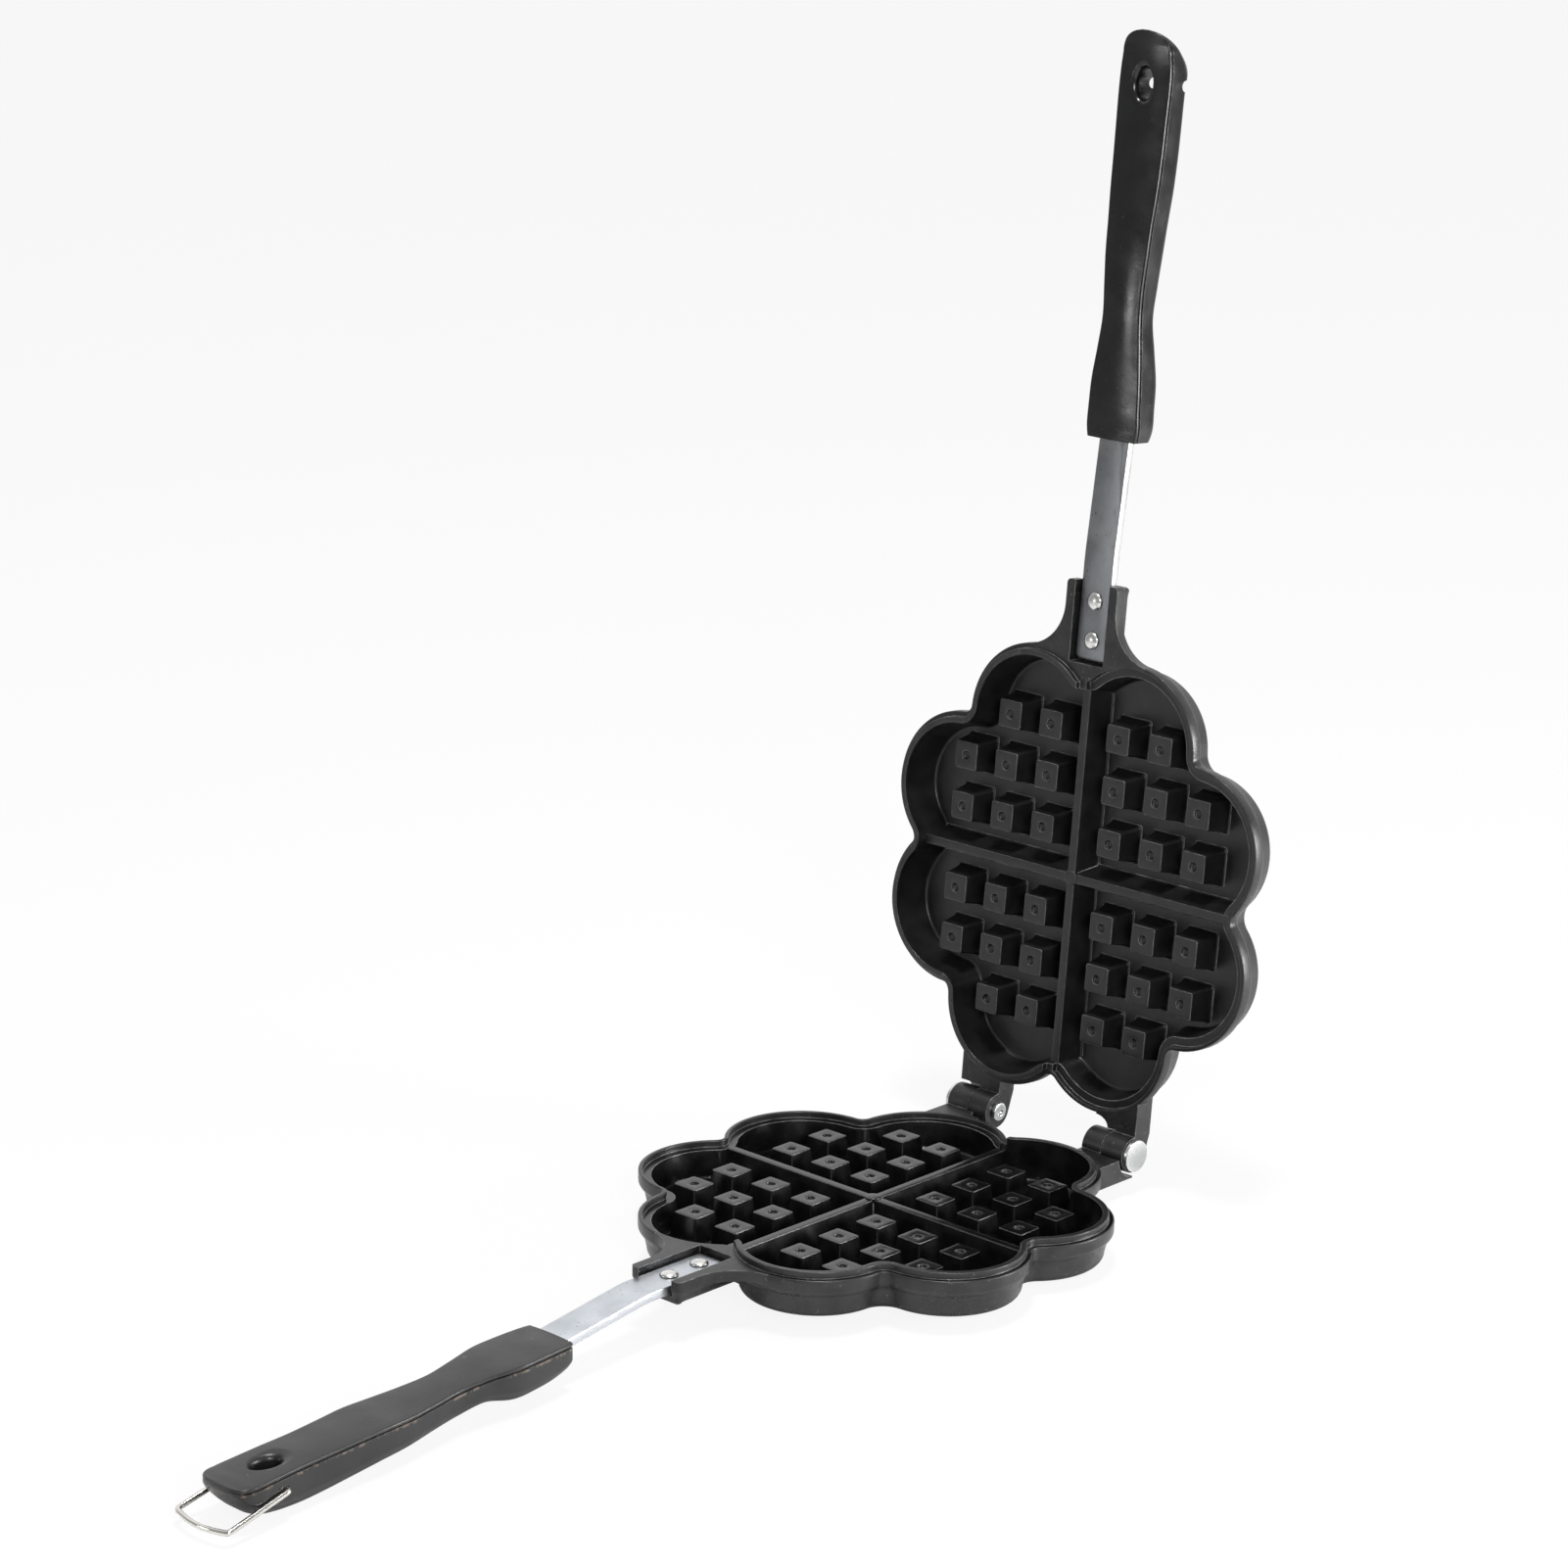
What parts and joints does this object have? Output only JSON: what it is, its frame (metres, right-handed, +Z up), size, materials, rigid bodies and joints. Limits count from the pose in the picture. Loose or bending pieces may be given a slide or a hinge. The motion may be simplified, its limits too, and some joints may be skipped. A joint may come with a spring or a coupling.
{
  "type": "waffle baking mold",
  "caption": "Folding stovetop waffle iron: two hinged flower-shaped heart waffle pans with riveted straps, moulded handles and a wire latch bail.",
  "frame": {"origin": "centre of the underside of the bounding box, in the pose of the picture with the lid open", "axes": "+X along the hinge, +Y from the handle of the lower plate towards the hinge, +Z up, square to the lower plate's parting face"},
  "size_m": [0.1462, 0.3966, 0.3759],
  "materials": {
    "nonstick_casting": "cast aluminium under a black nonstick coating, satin outside and on the land, glossy inside",
    "zinc_strap": "bright zinc plated flat steel with light scratches",
    "dark_steel_strap": "flat steel, satin, seen darker than the lower strap",
    "rivet_aluminium": "bright domed rivet",
    "pin_steel": "bright turned steel",
    "bail_wire": "bright drawn wire",
    "bakelite": "black moulded heat resistant plastic, half gloss, with a mould parting line"
  },
  "bodies": {
    "base": {"lower_plate": "nonstick_casting", "lower_strap": "zinc_strap", "lower_handle": "bakelite", "lower_rivet_inner": "rivet_aluminium", "lower_rivet_outer": "rivet_aluminium", "hinge_pin_left": "pin_steel", "hinge_pin_right": "pin_steel"},
    "lid": {"upper_plate": "nonstick_casting", "upper_strap": "dark_steel_strap", "upper_handle": "bakelite", "upper_rivet_inner": "rivet_aluminium", "upper_rivet_outer": "rivet_aluminium"},
    "bail": {"latch_bail": "bail_wire"}
  },
  "joints": [
    {"name": "lid_hinge", "type": "hinge", "parent": "base", "child": "lid", "pos_m": [0, 0.15513, 0.02513], "axis": [1, 0, 0], "range_deg": [0, 94.5]},
    {"name": "bail_swing", "type": "hinge", "parent": "base", "child": "bail", "pos_m": [0, -0.17357, 0.00813], "axis": [-1, 0, 0], "range_deg": [-145, 174]}
  ]
}
